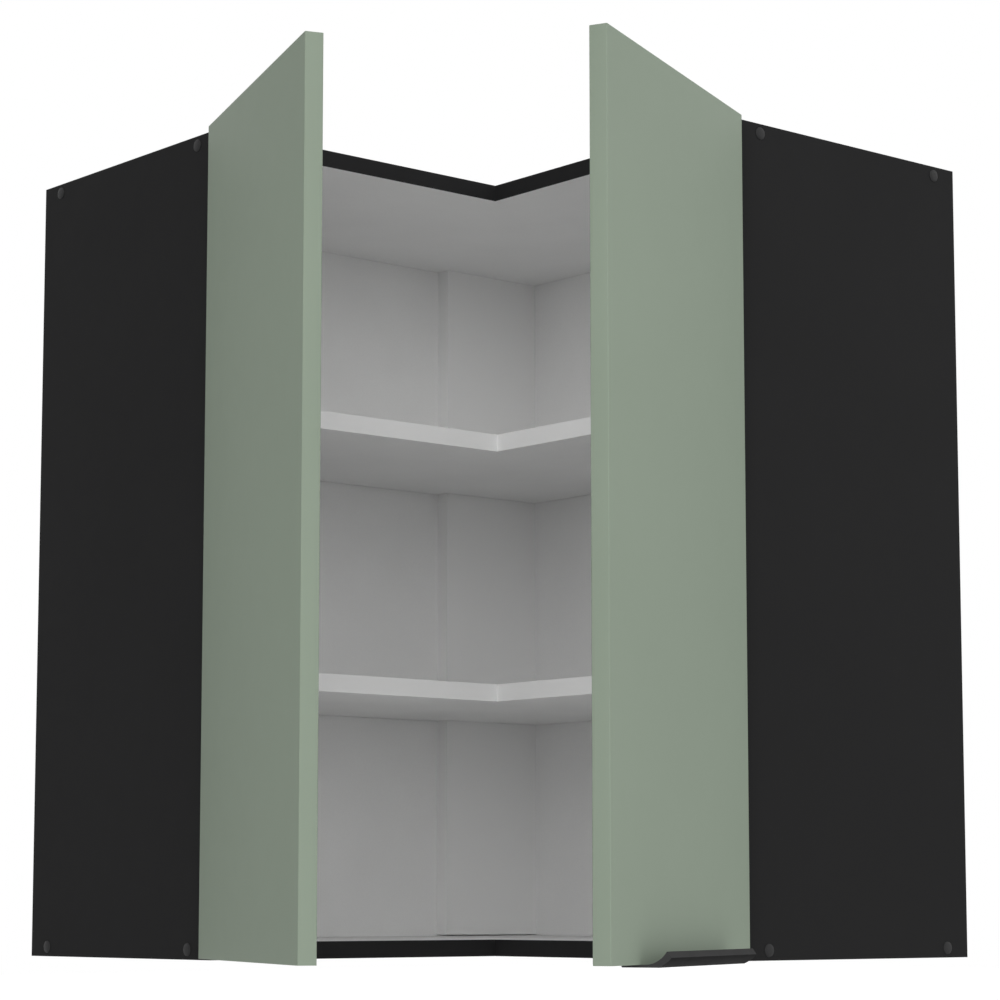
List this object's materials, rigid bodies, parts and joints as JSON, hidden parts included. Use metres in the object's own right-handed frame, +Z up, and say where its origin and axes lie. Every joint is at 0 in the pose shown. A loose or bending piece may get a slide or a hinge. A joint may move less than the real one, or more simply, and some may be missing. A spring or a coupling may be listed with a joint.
{
  "type": "corner wall cabinet",
  "caption": "L-shaped kitchen corner wall cabinet with open shelves inside, flat doors on concealed hinges and a black pull under the edge of one door.",
  "frame": {"origin": "room corner where the two wall planes meet, at the height of the carcass's underside", "axes": "+X along the right wall, -Y along the left wall, +Z up"},
  "size_m": [0.7324, 0.7143, 0.7175],
  "materials": {
    "black_board": "matt black melamine on chipboard, white inside",
    "white_board": "matt white melamine on chipboard",
    "white_hardboard": "white lacquered hardboard",
    "sage_front": "matt sage green lacquered board",
    "black_pull": "satin black coated aluminium",
    "cap_plastic": "dark grey plastic",
    "white_plastic": "white plastic",
    "beech": "raw beech",
    "steel": "nickel-plated steel"
  },
  "bodies": {
    "carcass": {"top_panel": "black_board", "bottom_panel": "black_board", "corner_batten": "white_board", "shelf_lower": "white_board", "shelf_upper": "white_board", "shelf_dowel_lower": "beech", "shelf_dowel_upper": "beech", "end_panel_left": "black_board", "back_panel_left": "white_hardboard", "hanger_body_left": "white_plastic", "hanger_hook_left": "steel", "cover_cap_left_bottom_1": "cap_plastic", "cover_cap_left_bottom_2": "cap_plastic", "cover_cap_left_top_1": "cap_plastic", "cover_cap_left_top_2": "cap_plastic", "shelf_pin_left_lower_1": "steel", "shelf_pin_left_lower_2": "steel", "shelf_pin_left_upper_1": "steel", "shelf_pin_left_upper_2": "steel", "hinge_left_lower_arm": "steel", "hinge_left_upper_arm": "steel", "end_panel_right": "black_board", "back_panel_right": "white_hardboard", "hanger_body_right": "white_plastic", "hanger_hook_right": "steel", "cover_cap_right_bottom_1": "cap_plastic", "cover_cap_right_bottom_2": "cap_plastic", "cover_cap_right_top_1": "cap_plastic", "cover_cap_right_top_2": "cap_plastic", "shelf_pin_right_lower_1": "steel", "shelf_pin_right_lower_2": "steel", "shelf_pin_right_upper_1": "steel", "shelf_pin_right_upper_2": "steel", "hinge_right_lower_arm": "steel", "hinge_right_upper_arm": "steel"},
    "left_door": {"door_left": "sage_front", "hinge_left_lower_cup": "steel", "hinge_left_upper_cup": "steel"},
    "left_crank_longs": {"hinge_left_lower_crank_long": "steel", "hinge_left_upper_crank_long": "steel"},
    "left_coupler_shorts": {"hinge_left_lower_coupler_short": "steel", "hinge_left_upper_coupler_short": "steel"},
    "left_crank_shorts": {"hinge_left_lower_crank_short": "steel", "hinge_left_upper_crank_short": "steel"},
    "left_coupler_longs": {"hinge_left_lower_coupler_long": "steel", "hinge_left_upper_coupler_long": "steel"},
    "right_door": {"door_right": "sage_front", "hinge_right_lower_cup": "steel", "hinge_right_upper_cup": "steel", "edge_pull": "black_pull"},
    "right_crank_longs": {"hinge_right_lower_crank_long": "steel", "hinge_right_upper_crank_long": "steel"},
    "right_coupler_shorts": {"hinge_right_lower_coupler_short": "steel", "hinge_right_upper_coupler_short": "steel"},
    "right_crank_shorts": {"hinge_right_lower_crank_short": "steel", "hinge_right_upper_crank_short": "steel"},
    "right_coupler_longs": {"hinge_right_lower_coupler_long": "steel", "hinge_right_upper_coupler_long": "steel"}
  },
  "joints": [
    {"name": "left_door_hinge", "type": "hinge", "parent": "carcass", "child": "left_door", "pos_m": [0.2912, -0.6012, 0.3585], "axis": [0, 0, 1], "range_deg": [0, 110]},
    {"name": "left_crank_long_pivot", "type": "hinge", "parent": "carcass", "child": "left_crank_longs", "pos_m": [0.2784, -0.57811, 0.3585], "axis": [0, 0, 1], "range_deg": [0, 110]},
    {"name": "left_coupler_short_pivot", "type": "hinge", "parent": "left_crank_longs", "child": "left_coupler_shorts", "pos_m": [0.30265, -0.58776, 0.3585], "axis": [0, 0, 1], "range_deg": [-110, 0]},
    {"name": "left_crank_short_pivot", "type": "hinge", "parent": "carcass", "child": "left_crank_shorts", "pos_m": [0.27375, -0.56971, 0.3585], "axis": [0, 0, 1], "range_deg": [0, 110]},
    {"name": "left_coupler_long_pivot", "type": "hinge", "parent": "left_crank_shorts", "child": "left_coupler_longs", "pos_m": [0.29112, -0.57663, 0.3585], "axis": [0, 0, 1], "range_deg": [-110, 0]},
    {"name": "right_door_hinge", "type": "hinge", "parent": "carcass", "child": "right_door", "pos_m": [0.6012, -0.2912, 0.3585], "axis": [0, 0, -1], "range_deg": [0, 114]},
    {"name": "right_crank_long_pivot", "type": "hinge", "parent": "carcass", "child": "right_crank_longs", "pos_m": [0.57811, -0.2784, 0.3585], "axis": [0, 0, -1], "range_deg": [0, 114]},
    {"name": "right_coupler_short_pivot", "type": "hinge", "parent": "right_crank_longs", "child": "right_coupler_shorts", "pos_m": [0.58943, -0.30192, 0.3585], "axis": [0, 0, -1], "range_deg": [-114, 0]},
    {"name": "right_crank_short_pivot", "type": "hinge", "parent": "carcass", "child": "right_crank_shorts", "pos_m": [0.56971, -0.27375, 0.3585], "axis": [0, 0, -1], "range_deg": [0, 114]},
    {"name": "right_coupler_long_pivot", "type": "hinge", "parent": "right_crank_shorts", "child": "right_coupler_longs", "pos_m": [0.57782, -0.2906, 0.3585], "axis": [0, 0, -1], "range_deg": [-114, 0]}
  ],
  "couplings": [
    {"joint": "left_crank_long_pivot", "follows": "left_door_hinge", "ratio": 1},
    {"joint": "left_coupler_short_pivot", "follows": "left_door_hinge", "ratio": -1},
    {"joint": "left_crank_short_pivot", "follows": "left_door_hinge", "ratio": 1},
    {"joint": "left_coupler_long_pivot", "follows": "left_door_hinge", "ratio": -1},
    {"joint": "right_crank_long_pivot", "follows": "right_door_hinge", "ratio": 1},
    {"joint": "right_coupler_short_pivot", "follows": "right_door_hinge", "ratio": -1},
    {"joint": "right_crank_short_pivot", "follows": "right_door_hinge", "ratio": 1},
    {"joint": "right_coupler_long_pivot", "follows": "right_door_hinge", "ratio": -1}
  ]
}
